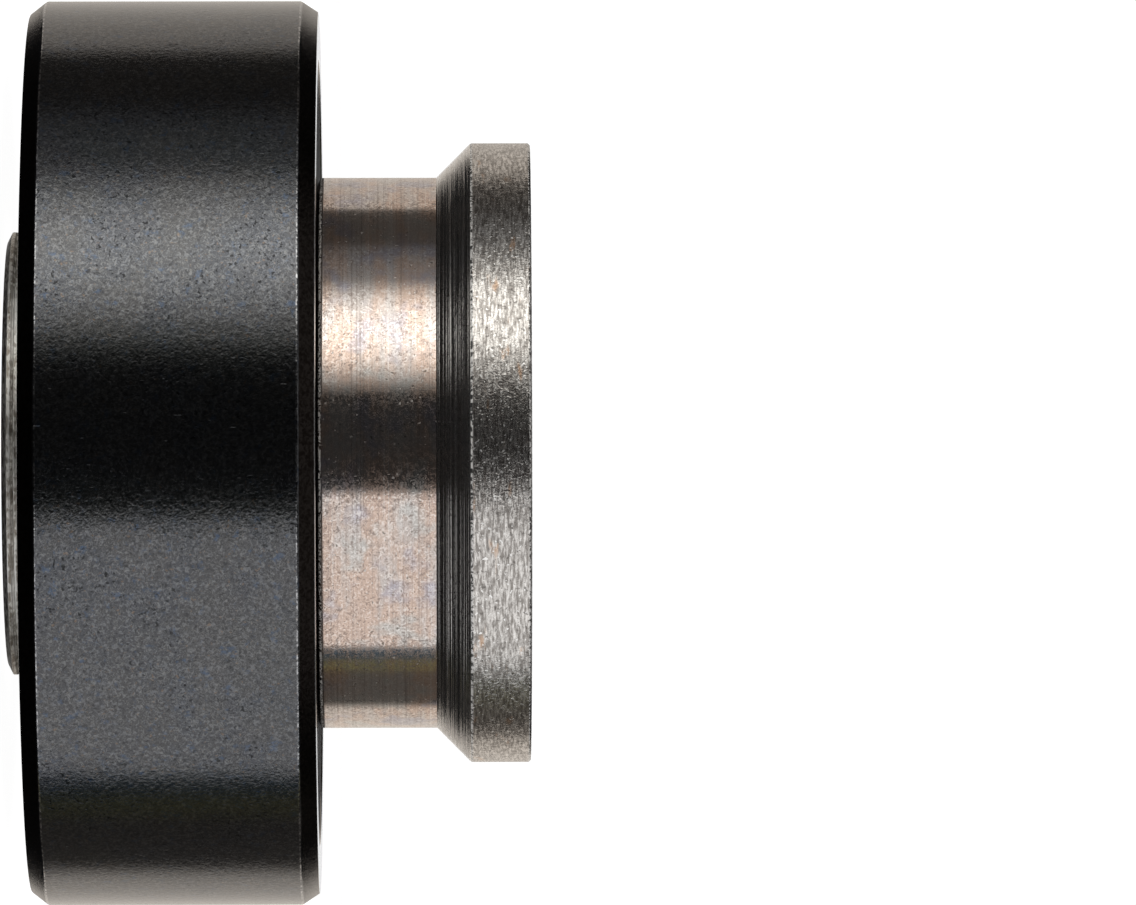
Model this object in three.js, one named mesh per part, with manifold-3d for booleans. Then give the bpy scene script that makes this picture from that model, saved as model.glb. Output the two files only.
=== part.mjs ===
// Angular contact ball bearing with an extended, flanged inner ring.
//
// Millimetres, +Z up. The axis of the bearing is Z. The inner ring stands on its
// small end at z = 0 and carries its flange at the top, so the order of the pieces
// from the outside in is: outer ring, seals, balls and cage, inner ring.
//
// The outer ring has its high shoulder on the flange side and is relieved on the
// small-end side. The inner ring with its balls and cage goes in from the relieved
// side, and the flange-side seal then slips over the flange.

import * as THREE from 'three';
import { mergeVertices } from 'three/addons/utils/BufferGeometryUtils.js';
import Module from 'manifold-3d';

const wasm = await Module();
wasm.setup();

// ---- Driving dimensions -------------------------------------------------------

const BORE_RADIUS = 4;
const OUTER_RADIUS = 11;
const OUTER_RING_WIDTH = 7;

const BALL_COUNT = 9;
const BALL_RADIUS = 3.969 / 2;
const PITCH_RADIUS = 7.5;
const RACE_RADIUS = 2.045;

const INNER_RING = {
  smallEndRadius: 5.385,
  smallEndHeight: 0.57, // how far the small end stands out below the outer ring
  smallEndChamfer: { radial: 0.24, axial: 0.12 },
  tracerGroove: { height: 0.26, halfWidth: 0.035, depth: 0.05 },
  boreChamfer: 0.35,
  lowerShoulderRadius: 6.25,
  lowerRecessRadius: 5.95,
  lowerRecessSlope: 0.11, // height of the slope from the small end to the seal recess
  upperRecessRadius: 6.4,
  spacerRadius: 6.7, // also the upper shoulder of the race
  spacerFoot: 7.62,
  spacerBevel: 0.15,
  coneFoot: 10.42,
  flangeFoot: 11.25,
  flangeFace: 12.7,
  flangeRadius: 7.535,
  flangeEdge: 0.05,
};

const OUTER_RING = {
  lowerChamfer: { radial: 0.32, axial: 0.41 },
  upperChamfer: { radial: 0.28, axial: 0.42 },
  highShoulderRadius: 8.55,
  relievedShoulderRadius: 9.3,
  sealMouthRadius: 9.6,
  sealGrooveRadius: 9.8,
};

// Heights of the seal seats, measured outwards from the plane of the ball centres.
const SEAT = { floor: 2.66, grooveTop: 3.06, mouth: 3.16, recessFloor: 2.78 };

const SEAL = {
  faceHeight: 3.46, // above the ball centres, so a little below the ring's side face
  rimRadius: 9.54,
  rimBevel: 0.05,
  beadRadius: 9.72,
  beadBevel: 0.1,
  neckHeight: 3.08,
  seatGap: 0.06, // between the bead and the groove it snaps into
  skin: 0.28,
  coreThickness: 0.3,
  coreOuterRadius: 9.3,
  coreRimWidth: 0.26,
  coreRimDepth: 0.44,
  bondGap: 0.02,
  lipGap: 0.07,
  lipClearance: 0.1, // between the lip and the floor of its recess
  lipWidth: 0.34,
  lipFlare: 0.1,
  lipBevel: 0.25,
  waist: 0.3,
};

// The flange-side core has to pass over the flange, so it ends further out.
const CORE_INNER_RADIUS = { upper: 7.68, lower: 6.95 };

const CAGE = {
  innerRadius: 6.8,
  outerRadius: 8.25,
  base: 2.4, // below the ball centres
  claws: 0.9, // above the ball centres
  pocketRadius: 2.065,
  slotWidth: 0.45,
  slotFloor: -0.4,
};

const RING_SEGMENTS = 48;
const GROOVE_STEPS = 6;
const BALL_DIVISIONS = [16, 10];
const POCKET_DIVISIONS = [18, 10];
const WELD_DISTANCE = 1e-4;

// ---- Derived places -----------------------------------------------------------

const BALL_PLANE = INNER_RING.smallEndHeight + OUTER_RING_WIDTH / 2;

// Angle, seen from a ball's centre, at which a race groove runs out into a shoulder.
const shoulderAngle = (radius) => Math.acos((radius - PITCH_RADIUS) / RACE_RADIUS);

// ---- Materials ----------------------------------------------------------------

const blackOxide = new THREE.MeshStandardMaterial({
  color: 0x17181a, roughness: 0.42, metalness: 0.7,
});
const groundSteel = new THREE.MeshStandardMaterial({
  color: 0xb9b0a6, roughness: 0.34, metalness: 1,
});
const ballSteel = new THREE.MeshStandardMaterial({
  color: 0xd4d6d8, roughness: 0.08, metalness: 1,
});
const coreSteel = new THREE.MeshStandardMaterial({
  color: 0x8e9296, roughness: 0.4, metalness: 1,
});
const sealRubber = new THREE.MeshStandardMaterial({
  color: 0x111214, roughness: 0.7, metalness: 0,
});
const cageNylon = new THREE.MeshStandardMaterial({
  color: 0xd8cfb4, roughness: 0.55, metalness: 0,
});

// ---- Helpers ------------------------------------------------------------------

// A closed (radius, height) outline, listed anticlockwise, turned about Z.
function turned(outline) {
  const points = outline.map(([radius, height]) => new THREE.Vector2(radius, height));
  points.push(points[0].clone());
  const geometry = new THREE.LatheGeometry(points, RING_SEGMENTS);
  return geometry.rotateX(Math.PI / 2);
}

// Points along a race groove, between two angles seen from the ball's centre.
function raceGroove(fromAngle, toAngle) {
  const points = [];
  for (let step = 0; step <= GROOVE_STEPS; step += 1) {
    const angle = THREE.MathUtils.lerp(fromAngle, toAngle, step / GROOVE_STEPS);
    const radius = PITCH_RADIUS + RACE_RADIUS * Math.cos(angle);
    const height = BALL_PLANE + RACE_RADIUS * Math.sin(angle);
    points.push([radius, height]);
  }
  return points;
}

function solidOf(geometry) {
  const bare = geometry.clone();
  bare.deleteAttribute('normal');
  bare.deleteAttribute('uv');
  const merged = mergeVertices(bare, WELD_DISTANCE);
  return new wasm.Manifold(new wasm.Mesh({
    numProp: 3,
    vertProperties: merged.attributes.position.array,
    triVerts: merged.index.array,
  }));
}

function geometryOf(solid) {
  const { vertProperties, triVerts } = solid.getMesh();
  const geometry = new THREE.BufferGeometry();
  geometry.setAttribute('position', new THREE.BufferAttribute(vertProperties, 3));
  geometry.setIndex(new THREE.BufferAttribute(triVerts, 1));
  return geometry;
}

function named(name, geometry, material) {
  const mesh = new THREE.Mesh(geometry, material);
  mesh.name = name;
  return mesh;
}

// ---- Inner ring ---------------------------------------------------------------

// One piece: small end, race, seal recesses, spacer, cone and flange round the bore.
function innerRing() {
  const r = INNER_RING;
  const { radial, axial } = r.smallEndChamfer;
  const { height, halfWidth, depth } = r.tracerGroove;
  const lowerRecessTop = BALL_PLANE - SEAT.recessFloor;
  const upperRecessFloor = BALL_PLANE + SEAT.recessFloor;
  const bore = BORE_RADIUS;
  const lead = r.boreChamfer;
  return named('inner_ring', turned([
    [bore + lead, 0],
    [r.smallEndRadius - radial, 0],
    [r.smallEndRadius, axial],
    [r.smallEndRadius, height - halfWidth],
    [r.smallEndRadius - depth, height],
    [r.smallEndRadius, height + halfWidth],
    [r.smallEndRadius, r.smallEndHeight],
    [r.lowerRecessRadius, r.smallEndHeight + r.lowerRecessSlope],
    [r.lowerRecessRadius, lowerRecessTop],
    [r.lowerShoulderRadius, lowerRecessTop],
    ...raceGroove(
      2 * Math.PI - shoulderAngle(r.lowerShoulderRadius),
      shoulderAngle(r.spacerRadius),
    ),
    [r.spacerRadius, upperRecessFloor],
    [r.upperRecessRadius, upperRecessFloor],
    [r.upperRecessRadius, r.spacerFoot - r.spacerBevel],
    [r.spacerRadius, r.spacerFoot],
    [r.spacerRadius, r.coneFoot],
    [r.flangeRadius, r.flangeFoot],
    [r.flangeRadius, r.flangeFace - r.flangeEdge],
    [r.flangeRadius - r.flangeEdge, r.flangeFace],
    [bore + lead, r.flangeFace],
    [bore, r.flangeFace - lead],
    [bore, lead],
  ]), groundSteel);
}

// ---- Outer ring ---------------------------------------------------------------

function outerRing() {
  const r = OUTER_RING;
  const bottom = BALL_PLANE - OUTER_RING_WIDTH / 2;
  const top = BALL_PLANE + OUTER_RING_WIDTH / 2;
  return named('outer_ring', turned([
    [r.sealMouthRadius, bottom],
    [OUTER_RADIUS - r.lowerChamfer.radial, bottom],
    [OUTER_RADIUS, bottom + r.lowerChamfer.axial],
    [OUTER_RADIUS, top - r.upperChamfer.axial],
    [OUTER_RADIUS - r.upperChamfer.radial, top],
    [r.sealMouthRadius, top],
    [r.sealMouthRadius, BALL_PLANE + SEAT.mouth],
    [r.sealGrooveRadius, BALL_PLANE + SEAT.grooveTop],
    [r.sealGrooveRadius, BALL_PLANE + SEAT.floor],
    [r.highShoulderRadius, BALL_PLANE + SEAT.floor],
    ...raceGroove(
      shoulderAngle(r.highShoulderRadius),
      -shoulderAngle(r.relievedShoulderRadius),
    ),
    [r.relievedShoulderRadius, BALL_PLANE - SEAT.floor],
    [r.sealGrooveRadius, BALL_PLANE - SEAT.floor],
    [r.sealGrooveRadius, BALL_PLANE - SEAT.grooveTop],
    [r.sealMouthRadius, BALL_PLANE - SEAT.mouth],
  ]), blackOxide);
}

// ---- Seals --------------------------------------------------------------------

// A seal is modelled facing up, with heights measured from the ball plane: a steel
// core lies in a channel of the rubber, which snaps into the outer ring's groove and
// runs close to the inner ring with its lip.
function sealCore(name, coreInnerRadius) {
  const s = SEAL;
  const top = s.faceHeight - s.skin - s.bondGap;
  const under = top - s.coreThickness;
  return named(name, turned([
    [coreInnerRadius, under],
    [s.coreOuterRadius - s.coreRimWidth, under],
    [s.coreOuterRadius - s.coreRimWidth, top - s.coreRimDepth],
    [s.coreOuterRadius, top - s.coreRimDepth],
    [s.coreOuterRadius, top],
    [coreInnerRadius, top],
  ]), coreSteel);
}

function sealRubberBody(name, coreInnerRadius, recessRadius) {
  const s = SEAL;
  const lip = recessRadius + s.lipGap;
  const lipFoot = SEAT.recessFloor + s.lipClearance;
  const beadFoot = SEAT.floor + s.seatGap;
  const underside = s.faceHeight - s.waist;
  const channelTop = s.faceHeight - s.skin;
  const channelInner = coreInnerRadius - s.bondGap;
  const channelOuter = s.coreOuterRadius + s.bondGap;
  return named(name, turned([
    [lip, lipFoot],
    [lip + s.lipWidth, lipFoot],
    [lip + s.lipWidth + s.lipFlare, underside],
    [channelInner - s.waist, underside],
    [channelInner, channelTop - s.coreThickness],
    [channelInner, channelTop],
    [channelOuter, channelTop],
    [channelOuter, beadFoot],
    [s.beadRadius - s.beadBevel, beadFoot],
    [s.beadRadius, beadFoot + s.beadBevel],
    [s.beadRadius, SEAT.grooveTop - s.seatGap],
    [s.rimRadius, s.neckHeight],
    [s.rimRadius, s.faceHeight - s.rimBevel],
    [s.rimRadius - s.rimBevel, s.faceHeight],
    [lip + s.lipBevel, s.faceHeight],
    [lip, s.faceHeight - s.lipBevel],
  ]), sealRubber);
}

function seal(side, recessRadius) {
  const coreInnerRadius = CORE_INNER_RADIUS[side];
  const group = new THREE.Group();
  group.add(sealCore(`${side}_seal_core`, coreInnerRadius));
  group.add(sealRubberBody(`${side}_seal_rubber`, coreInnerRadius, recessRadius));
  group.position.z = BALL_PLANE;
  return group;
}

// ---- Balls and cage -----------------------------------------------------------

const ballAngle = (index) => (2 * Math.PI * index) / BALL_COUNT;

function placeOnPitchCircle(object, angle) {
  object.position.set(PITCH_RADIUS * Math.cos(angle), PITCH_RADIUS * Math.sin(angle), 0);
  object.rotation.z = angle;
  return object;
}

function balls() {
  const group = new THREE.Group();
  const geometry = new THREE.SphereGeometry(BALL_RADIUS, ...BALL_DIVISIONS);
  for (let index = 0; index < BALL_COUNT; index += 1) {
    const ball = named(`ball_${index + 1}`, geometry, ballSteel);
    group.add(placeOnPitchCircle(ball, ballAngle(index)));
  }
  group.position.z = BALL_PLANE;
  return group;
}

// A geometry moved to its place on the pitch circle, as a solid to cut with.
function cutterAt(geometry, angle) {
  const placed = placeOnPitchCircle(new THREE.Object3D(), angle);
  placed.updateMatrix();
  return solidOf(geometry.clone().applyMatrix4(placed.matrix));
}

// A snap-in crown cage: a band with one open-topped pocket a ball, and a slot
// between each two pockets that leaves a springy claw on either side.
function cage() {
  const c = CAGE;
  const slotHeight = c.claws - c.slotFloor;
  const slotLength = 2 * (c.outerRadius - c.innerRadius);
  const slotTool = new THREE.BoxGeometry(slotLength, c.slotWidth, slotHeight * 2);
  slotTool.translate(0, 0, c.slotFloor + slotHeight);
  const pocketTool = new THREE.SphereGeometry(c.pocketRadius, ...POCKET_DIVISIONS);
  let band = solidOf(turned([
    [c.innerRadius, -c.base],
    [c.outerRadius, -c.base],
    [c.outerRadius, c.claws],
    [c.innerRadius, c.claws],
  ]));
  for (let index = 0; index < BALL_COUNT; index += 1) {
    band = band.subtract(cutterAt(pocketTool, ballAngle(index)));
    band = band.subtract(cutterAt(slotTool, ballAngle(index + 0.5)));
  }
  const mesh = named('ball_cage', geometryOf(band), cageNylon);
  mesh.position.z = BALL_PLANE;
  return mesh;
}

// ---- Assembly -----------------------------------------------------------------

const upperSeal = seal('upper', INNER_RING.upperRecessRadius);
const lowerSeal = seal('lower', INNER_RING.lowerRecessRadius);
lowerSeal.rotation.x = Math.PI;

const bearing = new THREE.Group();
bearing.add(innerRing());
bearing.add(outerRing());
bearing.add(lowerSeal);
bearing.add(upperSeal);
bearing.add(cage());
bearing.add(balls());

export default bearing;
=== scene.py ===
"""Looks of the flanged angular contact bearing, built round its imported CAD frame.

Metres, +Z along the bearing's axis. Every turned piece takes its outline from the CAD
node it stands for, gets its corners softened, and is turned again finely.
"""

import math

import bmesh
import bpy
from mathutils import Matrix, Vector


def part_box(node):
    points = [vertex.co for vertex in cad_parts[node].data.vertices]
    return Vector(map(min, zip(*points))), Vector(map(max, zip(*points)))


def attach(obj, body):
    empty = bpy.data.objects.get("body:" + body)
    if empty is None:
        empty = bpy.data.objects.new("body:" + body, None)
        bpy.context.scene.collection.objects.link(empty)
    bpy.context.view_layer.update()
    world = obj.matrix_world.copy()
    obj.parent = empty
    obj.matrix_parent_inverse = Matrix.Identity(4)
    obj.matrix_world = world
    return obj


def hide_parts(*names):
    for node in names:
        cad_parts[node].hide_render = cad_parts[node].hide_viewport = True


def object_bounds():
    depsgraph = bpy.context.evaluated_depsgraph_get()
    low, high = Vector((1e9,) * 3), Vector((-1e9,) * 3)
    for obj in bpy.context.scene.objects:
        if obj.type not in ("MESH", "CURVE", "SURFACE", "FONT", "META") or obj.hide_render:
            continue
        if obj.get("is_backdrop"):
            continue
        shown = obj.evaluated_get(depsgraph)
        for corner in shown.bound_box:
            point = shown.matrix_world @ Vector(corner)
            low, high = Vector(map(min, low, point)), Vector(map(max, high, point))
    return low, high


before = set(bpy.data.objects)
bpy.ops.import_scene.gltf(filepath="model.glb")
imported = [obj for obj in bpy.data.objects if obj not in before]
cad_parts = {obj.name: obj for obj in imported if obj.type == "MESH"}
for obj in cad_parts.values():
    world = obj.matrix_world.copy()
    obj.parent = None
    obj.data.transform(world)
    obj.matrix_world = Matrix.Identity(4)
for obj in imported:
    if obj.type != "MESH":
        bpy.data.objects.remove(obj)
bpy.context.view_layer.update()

MM = 0.001
TINY = 1e-7

# ---- Driving sizes, in metres unless noted ------------------------------------------

# Steps round the axis, steps in a corner's curve, and cuts along a ball's cube side.
RING_SEGMENTS = 288
SEAL_SEGMENTS = 192
CORNER_STEPS = 3
BALL_CUTS = 15

# A corner's curve takes at most this share of its shorter side. The guard points stand
# this many times the curve's reach away. Corners that turn less belong to a coarse arc.
CORNER_SHARE = 0.3
GUARD = 1.5
SMOOTH_TURN = math.radians(20)

# How far a corner's curve reaches along each side.
STEEL_EDGE = 0.022 * MM
OXIDE_EDGE = 0.035 * MM
RING_RIM = 0.03 * MM
RUBBER_EDGE = 0.05 * MM
WORN_EDGE = 0.06 * MM

# How near a surface a face has to be to take that surface's material.
BORE_BAND = 0.2 * MM
RECESS_BAND = 0.02 * MM
RING_FACE_BAND = 0.01 * MM
RING_OUTSIDE_BAND = 0.03 * MM

# A distance past the bore's chamfer, and how far up the spacer its foot is knocked.
PAST_CHAMFER = 0.5 * MM
FOOT_BAND = 0.3 * MM

# The numbers of the inner ring's materials, then of the outer ring's.
SPACER, FLANGE, CONE, HIDDEN, SMALL_END = range(5)
OXIDE, SIDE_FACE, RACE, CHAMFER = range(4)

CAMERA_DISTANCE = 292.4 * MM
CAMERA_HEIGHT = 10.75 * MM
AIM_HEIGHT = 13.62 * MM
FRAME_WIDTH = 27.68 * MM
CAMERA_ROLL = math.radians(0.1)
SENSOR_WIDTH = 36.0  # millimetres, Blender's unit for lenses
CLIP_START = 0.01

# The sweeps are low, so that the cone under the flange does not mirror them.
SOFTBOX_HEIGHT = 0.8
SWEEP_HEIGHT = 0.34
FLOOR_REACH = 0.9
FLOOR_GAP = 0.01 * MM

# ---- Outlines ----------------------------------------------------------------------


def cad_outline(node):
    """The closed (radius, height) outline of a turned CAD node, anticlockwise.

    It is read from the edges that lie in the half plane y = 0, x > 0.
    """
    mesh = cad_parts[node].data
    neighbours = {}
    for edge in mesh.edges:
        ends = [mesh.vertices[index].co for index in edge.vertices]
        if any(abs(end.y) > TINY or end.x < TINY for end in ends):
            continue
        first, second = [(round(end.x, 7), round(end.z, 7)) for end in ends]
        if first != second:
            neighbours.setdefault(first, set()).add(second)
            neighbours.setdefault(second, set()).add(first)
    start = min(neighbours)
    outline = [start]
    previous, point = None, start
    while True:
        following = next(other for other in sorted(neighbours[point]) if other != previous)
        if following == start:
            break
        outline.append(following)
        previous, point = point, following
    area = sum(a[0] * b[1] - b[0] * a[1] for a, b in zip(outline, outline[1:] + outline[:1]))
    return [Vector(p) for p in (outline if area > 0 else reversed(outline))]


def softened(outline, cut, wide_cut=0.0, is_wide=lambda corner: False):
    """An outline with its corners turned into small curves, as (point, wear) pairs.

    A corner's curve starts cut, or wide_cut, before it, or less on a short side. A guard
    point on either side of the curve keeps smooth shading off the flats. Corners of a
    coarse arc are smoothed out over their whole sides. Wear is 1 on the curve of a sharp
    outer corner and 0 elsewhere; most finishes rub off there, and the spacer and flange
    paint a highlight there.
    """
    result = []
    count = len(outline)
    for index, corner in enumerate(outline):
        before = outline[index - 1] - corner
        after = outline[(index + 1) % count] - corner
        turn = math.pi - before.angle(after)
        shortest = min(before.length, after.length)
        wanted = wide_cut if is_wide(corner) else cut
        on_arc = turn < SMOOTH_TURN
        reach = shortest / 2 if on_arc else min(wanted, shortest * CORNER_SHARE)
        outer = before.x * after.y - before.y * after.x < 0
        worn_and_highlit = 1.0 if outer and not on_arc else 0.0
        start = corner + before.normalized() * reach
        end = corner + after.normalized() * reach
        if not on_arc:
            result.append((corner + before.normalized() * reach * GUARD, 0.0))
        for step in range(CORNER_STEPS + 1):
            t = step / CORNER_STEPS
            point = start.lerp(corner, t).lerp(corner.lerp(end, t), t)
            result.append((point, worn_and_highlit if 0 < step < CORNER_STEPS else 0.0))
        if not on_arc:
            result.append((corner + after.normalized() * reach * GUARD, 0.0))
    return result


# ---- Meshes ------------------------------------------------------------------------


def new_object(name, mesh):
    piece = bpy.data.objects.new(name, mesh)
    bpy.context.scene.collection.objects.link(piece)
    return piece


def turned(name, profile, segments, materials, pick=lambda radius, height: 0):
    """A profile of (point, wear) pairs turned about Z. pick chooses each face's material."""
    count = len(profile)
    vertices, faces, picks = [], [], []
    for segment in range(segments):
        angle = 2 * math.pi * segment / segments
        c, s = math.cos(angle), math.sin(angle)
        vertices.extend((point.x * c, point.x * s, point.y) for point, _ in profile)
        here, there = segment * count, ((segment + 1) % segments) * count
        for index in range(count):
            following = (index + 1) % count
            faces.append((here + index, there + index, there + following, here + following))
    for index in range(count):
        middle = (profile[index][0] + profile[(index + 1) % count][0]) / 2
        picks.append(pick(middle.x, middle.y))
    mesh = bpy.data.meshes.new(name)
    mesh.from_pydata(vertices, [], faces)
    mesh.polygons.foreach_set("material_index", picks * segments)
    mesh.polygons.foreach_set("use_smooth", [True] * len(faces))
    edge_wear_and_highlight = mesh.attributes.new("edge_wear_and_highlight", "FLOAT", "POINT")
    edge_wear_and_highlight.data.foreach_set("value", [amount for _, amount in profile] * segments)
    for material in materials:
        mesh.materials.append(material)
    return new_object(name, mesh)


def stand_in(piece, node, body):
    """The piece replaces a CAD node, which it hides, and rides on its body."""
    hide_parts(node)
    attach(piece, body)


# ---- Node graphs -------------------------------------------------------------------


class Graph:
    """A material's node tree, with short calls for the nodes used here."""

    def __init__(self, name):
        self.material = bpy.data.materials.new(name)
        self.material.use_nodes = True
        self.tree = self.material.node_tree
        self.shader = self.tree.nodes["Principled BSDF"]

    def node(self, kind, inputs=None, **settings):
        made = self.tree.nodes.new("ShaderNode" + kind)
        for key, value in settings.items():
            setattr(made, key, value)
        for key, value in (inputs or {}).items():
            self.feed(made.inputs[key], value)
        return made

    def feed(self, socket, value):
        if isinstance(value, bpy.types.NodeSocket):
            self.tree.links.new(value, socket)
        else:
            socket.default_value = value

    def crease(self, value, width):
        """1 where a noise crosses its middle, falling to 0 over width: curly thin lines."""
        away = self.math("ABSOLUTE", self.math("SUBTRACT", value, 0.5))
        return self.span(away, width, 0.0)

    def math(self, operation, first, second=0.0):
        made = self.node("Math", {0: first, 1: second}, operation=operation)
        return made.outputs[0]

    def noise(self, vector, detail=2.0, roughness=0.5, distortion=0.0):
        inputs = {"Vector": vector, "Scale": 1.0, "Detail": detail, "Roughness": roughness,
                  "Distortion": distortion}
        return self.node("TexNoise", inputs).outputs["Fac"]

    def span(self, value, low, high, to_low=0.0, to_high=1.0):
        """value's stretch from low to high, mapped smoothly onto another."""
        inputs = {"Value": value, 1: low, 2: high, 3: to_low, 4: to_high}
        made = self.node("MapRange", inputs, interpolation_type="SMOOTHSTEP")
        return made.outputs["Result"]

    def blend(self, share, first, second):
        """A mix of two colours, by the Mix node's colour sockets: 6 and 7 in, 2 out."""
        made = self.node("Mix", data_type="RGBA")
        self.feed(made.inputs[0], share)
        self.feed(made.inputs[6], first)
        self.feed(made.inputs[7], second)
        return made.outputs[2]

    def place(self):
        return self.node("TexCoord").outputs["Object"]

    def stretched(self, size):
        """Object coordinates in which a noise of scale 1 has features of this size."""
        scale = tuple(1 / length for length in size)
        inputs = {"Vector": self.place(), "Scale": scale}
        return self.node("Mapping", inputs).outputs["Vector"]

    def grain(self, size, *settings):
        """A noise with features of one size in every direction."""
        return self.noise(self.stretched((size,) * 3), *settings)

    def round_axis(self, along, across):
        """Coordinates for streaks that run round the axis, of a length and a width."""
        split = self.node("SeparateXYZ", {0: self.place()})
        x, y, z = split.outputs
        square = self.math("ADD", self.math("MULTIPLY", x, x), self.math("MULTIPLY", y, y))
        radius = self.math("SQRT", square)
        lane = self.math("DIVIDE", self.math("ADD", z, radius), across)
        inputs = {0: self.math("DIVIDE", x, along), 1: self.math("DIVIDE", y, along), 2: lane}
        return self.node("CombineXYZ", inputs).outputs[0]

    def bump(self, height, depth, normal=None):
        inputs = {"Height": height, "Distance": depth, "Strength": 1.0}
        if normal:
            inputs["Normal"] = normal
        return self.node("Bump", inputs).outputs["Normal"]

    def edge_wear_and_highlight(self):
        """1 on the sharp outer corners of a turned piece: worn edges in most materials, a painted
        highlight on the spacer and flange.
        """
        return self.node("Attribute", attribute_name="edge_wear_and_highlight").outputs["Fac"]

    def rubbed(self):
        """Where the finish has gone from a worn corner, in patches."""
        patches = self.span(self.grain(0.12 * MM, 3.0, 0.7), 0.42, 0.66)
        return self.math("MULTIPLY", self.edge_wear_and_highlight(), patches)

    def finish(self, **sockets):
        for key, value in sockets.items():
            self.feed(self.shader.inputs[key.replace("_", " ")], value)
        return self.material


def colour(red, green, blue):
    return (red, green, blue, 1.0)


# ---- Materials ---------------------------------------------------------------------


def black_oxide():
    """Black conversion finish over ground steel: a crinkled grain, specks and worn edges."""
    g = Graph("black_oxide")
    grain = g.grain(0.090 * MM, 2.0, 0.6, 0.8)
    curl = g.grain(0.13 * MM, 1.0, 0.5, 1.0)
    patch = g.noise(g.stretched((1.8 * MM, 1.8 * MM, 1.2 * MM)), 3.0, 0.55)
    blue = g.grain(0.28 * MM, 4.0, 0.7)
    speck = g.grain(0.10 * MM, 1.0)
    pit = g.math("MULTIPLY", g.span(speck, 0.62, 0.70), g.span(patch, 0.46, 0.62, 0.3, 1.0))
    nick_place = g.node("Mapping", {
        "Vector": g.place(), "Rotation": (0.5, 0.3, 0.6),
        "Scale": (1 / (0.04 * MM), 1 / (0.35 * MM), 1 / (0.35 * MM)),
    }).outputs["Vector"]
    nick = g.span(g.noise(nick_place, 1.0), 0.74, 0.84)

    oxide = g.blend(g.span(patch, 0.40, 0.65), colour(0.104, 0.104, 0.107), colour(0.094, 0.098, 0.108))
    oxide = g.blend(g.span(grain, 0.50, 0.68, 0.0, 0.50), oxide, colour(0.190, 0.195, 0.205))
    oxide = g.blend(g.span(grain, 0.48, 0.32, 0.0, 0.65), oxide, colour(0.038, 0.038, 0.040))
    oxide = g.blend(g.math("MULTIPLY", g.crease(curl, 0.045), 0.45), oxide, colour(0.235, 0.235, 0.230))
    oxide = g.blend(g.math("MULTIPLY", g.crease(grain, 0.04), 0.44), oxide, colour(0.020, 0.019, 0.019))
    oxide = g.blend(g.span(blue, 0.56, 0.72, 0.0, 0.7), oxide, colour(0.075, 0.105, 0.160))
    oxide = g.blend(g.span(speck, 0.34, 0.22, 0.0, 0.5), oxide, colour(0.200, 0.145, 0.105))
    oxide = g.blend(g.math("MULTIPLY", pit, 0.75), oxide, colour(0.014, 0.014, 0.014))
    oxide = g.blend(g.math("MULTIPLY", nick, 0.2), oxide, colour(0.34, 0.34, 0.35))

    skin = g.blend(g.rubbed(), oxide, colour(0.50, 0.50, 0.51))

    rough = g.span(grain, 0.3, 0.7, 0.12, 0.17)
    normal = g.bump(grain, 0.0030 * MM)
    normal = g.bump(curl, 0.0030 * MM, normal)
    normal = g.bump(g.math("SUBTRACT", nick, pit), 0.0012 * MM, normal)
    return g.finish(Base_Color=skin, Metallic=1.0, Roughness=rough, Normal=normal)


def chamfer_oxide():
    """The outer ring's chamfers, left as turned under a thick matt oxide."""
    g = Graph("chamfer_oxide")
    grain = g.grain(0.090 * MM, 2.0, 0.6, 0.8)
    skin = g.blend(g.span(grain, 0.35, 0.65), colour(0.018, 0.014, 0.012), colour(0.045, 0.038, 0.034))
    skin = g.blend(g.rubbed(), skin, colour(0.45, 0.45, 0.46))
    normal = g.bump(grain, 0.0060 * MM)
    return g.finish(Base_Color=skin, Metallic=1.0, Roughness=0.22, Normal=normal)


def ring_face():
    """Ground side face of the outer ring, bare where handling has polished its rim."""
    g = Graph("ground_ring_face")
    lay = g.noise(g.round_axis(3.0 * MM, 0.03 * MM), 2.0)
    stain = g.grain(1.2 * MM, 3.0)
    skin = g.blend(g.span(stain, 0.4, 0.7), colour(0.56, 0.56, 0.56), colour(0.46, 0.47, 0.50))
    skin = g.blend(g.edge_wear_and_highlight(), skin, colour(0.85, 0.85, 0.85))
    normal = g.bump(lay, 0.0004 * MM)
    return g.finish(Base_Color=skin, Metallic=1.0, Roughness=0.18, Normal=normal)


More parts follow.
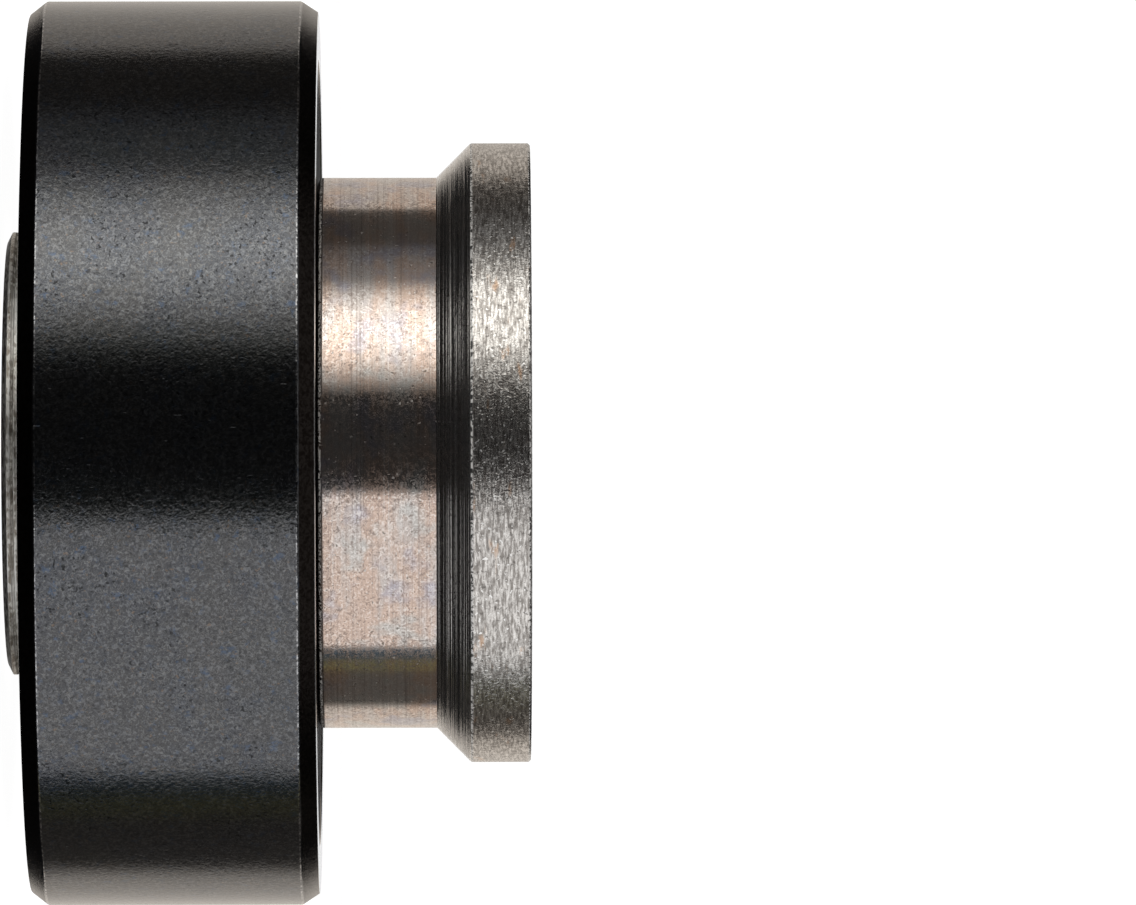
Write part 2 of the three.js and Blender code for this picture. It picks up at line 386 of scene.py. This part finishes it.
def spacer_steel():
    """Turned bare steel, crinkled by tumbling, with straw, pink and lilac tints, and a painted highlight
    bead on its foot.
    """
    g = Graph("spacer_steel")
    lathe = g.noise(g.round_axis(9.0 * MM, 0.055 * MM), 3.0, 0.7)
    crinkle = g.grain(0.085 * MM, 2.0, 0.6, 1.2)
    crease = g.crease(crinkle, 0.045)
    scuff = g.noise(g.round_axis(0.30 * MM, 0.05 * MM), 2.0, 0.6)
    tint = g.noise(g.round_axis(2.2 * MM, 0.55 * MM), 4.0, 0.6)
    haze = g.grain(1.3 * MM, 3.0, 0.6)
    speck = g.grain(0.085 * MM, 0.0)
    pit = g.span(speck, 0.78, 0.83)
    spark = g.span(speck, 0.21, 0.16)

    skin = g.blend(g.span(tint, 0.38, 0.60), colour(0.625, 0.570, 0.540), colour(0.670, 0.510, 0.425))
    skin = g.blend(g.span(haze, 0.51, 0.66, 0.0, 0.9), skin, colour(0.470, 0.450, 0.515))
    skin = g.blend(g.span(haze, 0.45, 0.32, 0.0, 0.8), skin, colour(0.590, 0.590, 0.570))
    skin = g.blend(g.span(lathe, 0.50, 0.30, 0.0, 0.60), skin, colour(0.300, 0.250, 0.225))
    skin = g.blend(g.span(lathe, 0.54, 0.72, 0.0, 0.55), skin, colour(0.860, 0.815, 0.780))
    skin = g.blend(g.span(crinkle, 0.48, 0.32, 0.0, 0.75), skin, colour(0.250, 0.195, 0.170))
    skin = g.blend(g.span(crinkle, 0.54, 0.70, 0.0, 0.60), skin, colour(0.860, 0.815, 0.780))
    skin = g.blend(g.math("MULTIPLY", crease, 0.28), skin, colour(0.200, 0.160, 0.140))
    skin = g.blend(g.math("MULTIPLY", pit, 0.7), skin, colour(0.10, 0.08, 0.06))
    skin = g.blend(g.math("MULTIPLY", spark, 0.5), skin, colour(0.90, 0.87, 0.84))
    # Painted highlight: a whitish bead on the foot's worn corner, made mostly non-metallic so it is
    # bright under every lamp.
    painted_highlight_bead = g.math("MULTIPLY", g.edge_wear_and_highlight(), g.span(crinkle, 0.40, 0.54))
    skin = g.blend(painted_highlight_bead, skin, colour(0.96, 0.92, 0.87))

    # The painted highlight bead loses its metal.
    metal = g.math("SUBTRACT", 1.0, painted_highlight_bead)
    rough = g.span(crinkle, 0.32, 0.62, 0.26, 0.09)
    rough = g.math("ADD", rough, g.math("MULTIPLY", spark, 0.14))
    normal = g.bump(lathe, 0.0003 * MM)
    normal = g.bump(scuff, 0.0003 * MM, normal)
    normal = g.bump(g.math("SUBTRACT", crinkle, pit), 0.0007 * MM, normal)
    return g.finish(Base_Color=skin, Metallic=metal, Roughness=rough, Normal=normal)


def flange_steel():
    """Coarsely ground steel, crinkled and sparkling: short deep scratches round the axis, and worn
    corners partly painted as a highlight.
    """
    g = Graph("flange_steel")
    scratch = g.noise(g.round_axis(0.30 * MM, 0.052 * MM), 3.0, 0.6)
    crinkle = g.grain(0.10 * MM, 2.0, 0.6, 1.0)
    crease = g.crease(crinkle, 0.05)
    dent = g.grain(0.28 * MM, 2.0, 0.55)
    stain = g.noise(g.round_axis(0.9 * MM, 0.3 * MM), 3.0)
    spark = g.span(g.grain(0.075 * MM, 0.0), 0.72, 0.80)

    skin = g.blend(g.span(scratch, 0.38, 0.62), colour(0.300, 0.277, 0.258), colour(0.730, 0.700, 0.670))
    skin = g.blend(g.span(scratch, 0.58, 0.72, 0.0, 0.8), skin, colour(0.930, 0.900, 0.870))
    skin = g.blend(g.span(crinkle, 0.44, 0.30, 0.0, 0.75), skin, colour(0.110, 0.098, 0.090))
    skin = g.blend(g.math("MULTIPLY", crease, 0.30), skin, colour(0.090, 0.080, 0.070))
    skin = g.blend(g.span(stain, 0.62, 0.74, 0.0, 0.6), skin, colour(0.60, 0.38, 0.24))
    skin = g.blend(spark, skin, colour(0.97, 0.96, 0.94))
    # Worn corners: ragged near-black chips, and near-white spots that are a painted edge highlight.
    ragged = g.span(crinkle, 0.46, 0.52)
    skin = g.blend(g.edge_wear_and_highlight(), skin, g.blend(ragged, colour(0.05, 0.05, 0.05), colour(0.92, 0.90, 0.88)))

    # Worn corners lose most of their metal, so the painted highlight shows under every lamp.
    metal = g.math("SUBTRACT", 1.0, g.math("MULTIPLY", g.edge_wear_and_highlight(), 0.8))
    rough = g.span(crinkle, 0.3, 0.7, 0.27, 0.19)
    rough = g.math("ADD", rough, g.math("MULTIPLY", spark, 0.12))
    normal = g.bump(scratch, 0.0080 * MM)
    normal = g.bump(crinkle, 0.0080 * MM, normal)
    normal = g.bump(dent, 0.0045 * MM, normal)
    return g.finish(Base_Color=skin, Metallic=metal, Roughness=rough, Normal=normal)


def small_end_steel():
    """Dull ground steel of the small end, brownish from preserving oil."""
    g = Graph("small_end_steel")
    lay = g.noise(g.round_axis(2.5 * MM, 0.075 * MM), 2.0, 0.6)
    mottle = g.noise(g.round_axis(0.22 * MM, 0.11 * MM), 2.0, 0.6, 0.6)
    skin = g.blend(g.span(mottle, 0.38, 0.62), colour(0.28, 0.25, 0.21), colour(0.84, 0.82, 0.78))
    skin = g.blend(g.span(lay, 0.52, 0.62, 0.0, 0.7), skin, colour(0.92, 0.91, 0.89))
    skin = g.blend(g.span(lay, 0.46, 0.36, 0.0, 0.6), skin, colour(0.22, 0.20, 0.18))
    skin = g.blend(g.math("MULTIPLY", g.edge_wear_and_highlight(), 0.5), skin, colour(0.80, 0.77, 0.72))
    rough = g.span(mottle, 0.3, 0.7, 0.42, 0.54)
    normal = g.bump(lay, 0.0040 * MM)
    normal = g.bump(mottle, 0.0050 * MM, normal)
    return g.finish(Base_Color=skin, Metallic=1.0, Roughness=rough, Normal=normal)


def cone_steel():
    """The cone under the flange, left as turned, with the tool's fine deep rings."""
    g = Graph("cone_steel")
    rings = g.noise(g.round_axis(40.0 * MM, 0.045 * MM), 2.0, 0.7)
    grain = g.grain(0.07 * MM, 2.0, 0.65)
    scuff = g.noise(g.round_axis(0.35 * MM, 0.05 * MM), 2.0, 0.6)
    skin = g.blend(g.span(rings, 0.4, 0.7), colour(0.68, 0.66, 0.64), colour(0.97, 0.95, 0.93))
    skin = g.blend(g.span(grain, 0.5, 0.3, 0.0, 0.7), skin, colour(0.26, 0.24, 0.23))
    skin = g.blend(g.math("MULTIPLY", g.edge_wear_and_highlight(), 0.8), skin, colour(0.88, 0.84, 0.78))
    normal = g.bump(rings, 0.023 * MM)
    normal = g.bump(scuff, 0.0020 * MM, normal)
    normal = g.bump(grain, 0.0020 * MM, normal)
    return g.finish(Base_Color=skin, Metallic=1.0, Roughness=0.15, Normal=normal)


def race_steel():
    """Honed bearing steel of the races, seal recesses and bore."""
    g = Graph("race_steel")
    hone = g.noise(g.round_axis(4.0 * MM, 0.03 * MM), 2.0)
    haze = g.grain(1.0 * MM, 2.0)
    skin = g.blend(haze, colour(0.50, 0.49, 0.48), colour(0.60, 0.59, 0.57))
    normal = g.bump(hone, 0.0005 * MM)
    return g.finish(Base_Color=skin, Metallic=1.0, Roughness=0.2, Normal=normal)


def core_steel():
    """Rolled sheet steel of the seal cores."""
    g = Graph("core_steel")
    roll = g.noise(g.stretched((0.05 * MM, 2.0 * MM, 2.0 * MM)), 2.0)
    skin = g.blend(roll, colour(0.38, 0.39, 0.40), colour(0.50, 0.51, 0.52))
    normal = g.bump(roll, 0.0008 * MM)
    return g.finish(Base_Color=skin, Metallic=1.0, Roughness=0.36, Normal=normal)


def ball_steel():
    """Lapped chrome steel, with the faintest lapping haze."""
    g = Graph("ball_steel")
    lap = g.grain(0.08 * MM, 2.0)
    skin = g.blend(lap, colour(0.60, 0.61, 0.62), colour(0.66, 0.67, 0.68))
    rough = g.span(lap, 0.3, 0.7, 0.05, 0.09)
    return g.finish(Base_Color=skin, Metallic=1.0, Roughness=rough)


def seal_rubber():
    """Moulded nitrile rubber with a fine satin texture and a trace of dust."""
    g = Graph("seal_rubber")
    skin_texture = g.grain(0.09 * MM, 3.0, 0.6)
    bloom = g.grain(1.8 * MM, 3.0)
    dust = g.span(g.grain(0.12 * MM, 0.0), 0.78, 0.86)
    skin = g.blend(bloom, colour(0.009, 0.009, 0.010), colour(0.018, 0.018, 0.019))
    skin = g.blend(g.math("MULTIPLY", dust, 0.4), skin, colour(0.12, 0.12, 0.12))
    rough = g.span(bloom, 0.3, 0.7, 0.60, 0.72)
    normal = g.bump(skin_texture, 0.012 * MM)
    return g.finish(Base_Color=skin, Metallic=0.0, Roughness=rough, Normal=normal)


def cage_nylon():
    """Glass-filled nylon: cream, with short fibres under a matt skin."""
    g = Graph("cage_nylon")
    fibre = g.noise(g.round_axis(0.5 * MM, 0.06 * MM), 2.0)
    cloud = g.grain(1.5 * MM, 2.0)
    skin = g.blend(cloud, colour(0.60, 0.53, 0.38), colour(0.70, 0.64, 0.50))
    skin = g.blend(g.span(fibre, 0.55, 0.75, 0.0, 0.4), skin, colour(0.78, 0.74, 0.62))
    normal = g.bump(fibre, 0.003 * MM)
    return g.finish(Base_Color=skin, Metallic=0.0, Roughness=0.5, Normal=normal)


# ---- Pieces ------------------------------------------------------------------------


def make_inner_ring():
    """Small end, races, spacer, cone and flange, as one turned piece."""
    outline = cad_outline("inner_ring")
    bore = min(point.x for point in outline)
    flange = max(point.x for point in outline)
    flange_foot = min(point.y for point in outline if point.x > flange - TINY)
    outer_side = [point for point in outline if point.x > bore + PAST_CHAMFER]
    cone_foot = max(point.y for point in outer_side if point.y < flange_foot - TINY)
    foot = min(point.y for point in outer_side if point.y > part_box("outer_ring")[1].z)
    recess_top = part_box("upper_seal_rubber")[1].z
    recess_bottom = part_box("lower_seal_rubber")[0].z

    def pick(radius, height):
        if radius < bore + BORE_BAND:
            return HIDDEN
        if height > flange_foot - TINY:
            return FLANGE
        if height > cone_foot + TINY:
            return CONE
        if height > recess_top - RECESS_BAND:
            return SPACER
        return SMALL_END if height < recess_bottom else HIDDEN

    def is_knocked(corner):
        on_flange = corner.x > flange - TINY and corner.y < flange_foot + TINY
        return on_flange or foot - TINY < corner.y < foot + FOOT_BAND

    materials = [spacer_steel(), flange_steel(), cone_steel(), race_steel(), small_end_steel()]
    profile = softened(outline, STEEL_EDGE, WORN_EDGE, is_knocked)
    piece = turned("inner_ring_turned", profile, RING_SEGMENTS, materials, pick)
    stand_in(piece, "inner_ring", "inner_ring_body")


def make_outer_ring():
    """The black ring, with its ground side faces and its turned chamfers."""
    outline = cad_outline("outer_ring")
    low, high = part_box("outer_ring")
    outside = min(point.x for point in outline if point.y < low.z + TINY)

    def pick(radius, height):
        on_side = height < low.z + TINY or height > high.z - RING_FACE_BAND
        if on_side and radius > outside:
            return SIDE_FACE
        if radius > high.x - RING_OUTSIDE_BAND:
            return OXIDE
        return CHAMFER if radius > outside else RACE

    def is_rim(corner):
        return corner.y > high.z - TINY and corner.x > outside

    materials = [black_oxide(), ring_face(), race_steel(), chamfer_oxide()]
    profile = softened(outline, OXIDE_EDGE, RING_RIM, is_rim)
    piece = turned("outer_ring_turned", profile, RING_SEGMENTS, materials, pick)
    stand_in(piece, "outer_ring", "outer_ring_body")


def make_seals():
    """Both seals: a moulded rubber ring and its pressed steel core."""
    rubber, core = seal_rubber(), core_steel()
    for side in ("lower", "upper"):
        body = softened(cad_outline(f"{side}_seal_rubber"), RUBBER_EDGE)
        piece = turned(f"{side}_seal_rubber_moulded", body, SEAL_SEGMENTS, [rubber])
        stand_in(piece, f"{side}_seal_rubber", "outer_ring_body")
        sheet = softened(cad_outline(f"{side}_seal_core"), RUBBER_EDGE)
        piece = turned(f"{side}_seal_core_pressed", sheet, SEAL_SEGMENTS, [core])
        stand_in(piece, f"{side}_seal_core", "outer_ring_body")


def make_balls():
    """Balls made of a cube's grid pushed out evenly, so that no pole shows."""
    steel = ball_steel()
    names = sorted(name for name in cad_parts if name.removeprefix("ball_").isdigit())
    for name in names:
        low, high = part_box(name)
        shell = bmesh.new()
        bmesh.ops.create_cube(shell, size=1.0)
        bmesh.ops.subdivide_edges(shell, edges=shell.edges[:], cuts=BALL_CUTS, use_grid_fill=True)
        centre, radius = (low + high) / 2, (high.z - low.z) / 2
        for vertex in shell.verts:
            tilt = Vector(math.tan(c * math.pi / 2) for c in vertex.co)
            vertex.co = centre + tilt.normalized() * radius
        mesh = bpy.data.meshes.new(name + "_lapped")
        shell.to_mesh(mesh)
        shell.free()
        mesh.polygons.foreach_set("use_smooth", [True] * len(mesh.polygons))
        mesh.materials.append(steel)
        piece = new_object(name + "_lapped", mesh)
        stand_in(piece, name, name + "_body")


def make_cage():
    """The cage is hidden by the seals, so it keeps its CAD mesh."""
    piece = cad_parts["ball_cage"]
    piece.data.materials.clear()
    piece.data.materials.append(cage_nylon())


# ---- Studio ------------------------------------------------------------------------


def emitter(name, tint, strength, feather):
    """A light-giving material, even in the middle and fading towards the panel's sides."""
    material = bpy.data.materials.new(name)
    material.use_nodes = True
    tree = material.node_tree
    tree.nodes.clear()
    output = tree.nodes.new("ShaderNodeOutputMaterial")
    light = tree.nodes.new("ShaderNodeEmission")
    light.inputs["Color"].default_value = tint
    light.inputs["Strength"].default_value = strength
    tree.links.new(light.outputs[0], output.inputs["Surface"])
    if feather:
        place = tree.nodes.new("ShaderNodeTexCoord")
        split = tree.nodes.new("ShaderNodeSeparateXYZ")
        distance = tree.nodes.new("ShaderNodeMath")
        distance.operation = "ABSOLUTE"
        fade = tree.nodes.new("ShaderNodeMapRange")
        fade.interpolation_type = "SMOOTHSTEP"
        fade.inputs["From Min"].default_value = 1.0
        fade.inputs["From Max"].default_value = 1.0 - feather
        fade.inputs["To Max"].default_value = strength
        tree.links.new(place.outputs["Object"], split.inputs[0])
        tree.links.new(split.outputs["X"], distance.inputs[0])
        tree.links.new(distance.outputs[0], fade.inputs["Value"])
        tree.links.new(fade.outputs["Result"], light.inputs["Strength"])
    return material


def light_sheet(name, tint, strength, feather):
    """A flat light, 2 by 2 and facing up, that the camera does not see itself."""
    mesh = bpy.data.meshes.new(name)
    mesh.from_pydata([(-1, -1, 0), (1, -1, 0), (1, 1, 0), (-1, 1, 0)], [], [(0, 1, 2, 3)])
    mesh.materials.append(emitter(name, tint, strength, feather))
    piece = new_object(name, mesh)
    piece.visible_camera = False
    piece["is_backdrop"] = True
    return piece


def panel(name, from_angle, to_angle, distance, height, tint, strength, feather=0.0):
    """An upright light panel that fills a sector round the axis, seen from it.

    Angles are in degrees from the camera's side, positive towards +X.
    """
    middle = math.radians((from_angle + to_angle) / 2)
    half = math.radians((to_angle - from_angle) / 2)
    towards = Vector((math.sin(middle), -math.cos(middle), 0))
    piece = light_sheet(name, tint, strength, feather)
    piece.location = towards * distance + Vector((0, 0, AIM_HEIGHT))
    piece.rotation_euler = towards.to_track_quat("-Z", "Y").to_euler()
    piece.scale = (distance * math.tan(half), height / 2, 1)


def ceiling(name, height, width, tint, strength):
    """A level light sheet over the part."""
    piece = light_sheet(name, tint, strength, 0.0)
    piece.location = (0, 0, height)
    piece.scale = (width / 2, width / 2, 1)


def light_studio():
    """Softboxes, dim walls and coloured cards round the part, a sweep behind, a sheet above.

    Each panel lights the band of the part that mirrors its sector.
    """
    plain, warm, cream = colour(1.0, 1.0, 1.0), colour(1.0, 0.99, 0.95), colour(1.0, 0.92, 0.83)
    dim, blue, olive = colour(1.0, 0.92, 0.84), colour(0.55, 0.78, 1.0), colour(1.0, 0.94, 0.52)
    panel("softbox_right", 16.5, 88.5, 0.5, SOFTBOX_HEIGHT, plain, 0.98)
    panel("softbox_left", -82, -22, 0.5, SOFTBOX_HEIGHT, warm, 2.08, feather=1.0)
    panel("bounce_left", -112, -35, 0.55, SOFTBOX_HEIGHT, plain, 0.24, feather=1.0)
    panel("front_wall", -22, 16.5, 0.5, SOFTBOX_HEIGHT, plain, 0.028)
    panel("wall_left", -123, -96, 0.58, SOFTBOX_HEIGHT, dim, 0.06)
    panel("wall_right", 103, 127, 0.58, SOFTBOX_HEIGHT, dim, 0.10)
    panel("blue_card", 88.5, 96, 0.52, SOFTBOX_HEIGHT, blue, 0.11)
    panel("olive_card", 96, 103.5, 0.54, SOFTBOX_HEIGHT, olive, 0.16)
    panel("backlight", 174, 186, 0.55, 0.4, plain, 1.1)
    ceiling("top_softbox", 0.55, 0.9, plain, 0.25)
    panel("sweep_left", -180, -123, 0.6, SWEEP_HEIGHT, cream, 0.62)
    panel("sweep_right", 127, 180, 0.6, SWEEP_HEIGHT, cream, 0.78, feather=0.4)


def make_world():
    """White to the camera, and a dim room in the reflections."""
    world = bpy.data.worlds.new("studio")
    bpy.context.scene.world = world
    world.use_nodes = True
    tree = world.node_tree
    room = tree.nodes["Background"]
    room.inputs["Color"].default_value = colour(0.012, 0.012, 0.0125)
    white = tree.nodes.new("ShaderNodeBackground")
    white.inputs["Color"].default_value = colour(1.0, 1.0, 1.0)
    white.inputs["Strength"].default_value = 1.05
    mix = tree.nodes.new("ShaderNodeMixShader")
    rays = tree.nodes.new("ShaderNodeLightPath")
    tree.links.new(rays.outputs["Is Camera Ray"], mix.inputs[0])
    tree.links.new(room.outputs[0], mix.inputs[1])
    tree.links.new(white.outputs[0], mix.inputs[2])
    tree.links.new(mix.outputs[0], tree.nodes["World Output"].inputs["Surface"])


def make_floor():
    """A white floor for the camera alone, left out of the reflections."""
    mesh = bpy.data.meshes.new("floor")
    near, far = -FLOOR_REACH, FLOOR_REACH
    corners = [(near, near, 0), (far, near, 0), (far, far, 0), (near, far, 0)]
    mesh.from_pydata(corners, [], [(0, 1, 2, 3)])
    material = bpy.data.materials.new("floor")
    material.use_nodes = True
    shader = material.node_tree.nodes["Principled BSDF"]
    shader.inputs["Base Color"].default_value = colour(0.5, 0.5, 0.5)
    shader.inputs["Roughness"].default_value = 0.9
    shader.inputs["Emission Color"].default_value = colour(1.0, 1.0, 1.0)
    shader.inputs["Emission Strength"].default_value = 0.97
    mesh.materials.append(material)
    floor = new_object("floor", mesh)
    floor.location.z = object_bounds()[0].z - FLOOR_GAP
    floor.visible_glossy = False
    floor.visible_diffuse = False
    floor.visible_shadow = False
    floor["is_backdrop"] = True


def make_camera():
    """Looks nearly level at the axis from far off, with +Z to the right as in the photo."""
    data = bpy.data.cameras.new("camera")
    data.sensor_width = SENSOR_WIDTH
    data.lens = SENSOR_WIDTH * CAMERA_DISTANCE / FRAME_WIDTH
    data.clip_start = CLIP_START
    camera = bpy.data.objects.new("camera", data)
    bpy.context.scene.collection.objects.link(camera)
    camera.location = (0, -CAMERA_DISTANCE, CAMERA_HEIGHT)
    aim = Vector((0, 0, AIM_HEIGHT)) - camera.location
    forward = aim.normalized()
    right = (Vector((0, 0, 1)) - forward * forward.z).normalized()
    upward = right.cross(forward)
    roll = Matrix.Rotation(CAMERA_ROLL, 3, forward)
    right, upward = roll @ right, roll @ upward
    camera.rotation_mode = "QUATERNION"
    camera.rotation_quaternion = Matrix((right, upward, -forward)).transposed().to_quaternion()
    bpy.context.scene.camera = camera


make_camera()
make_inner_ring()
make_outer_ring()
make_seals()
make_balls()
make_cage()
light_studio()
make_world()
make_floor()

scene = bpy.context.scene
scene.view_settings.view_transform = "Standard"
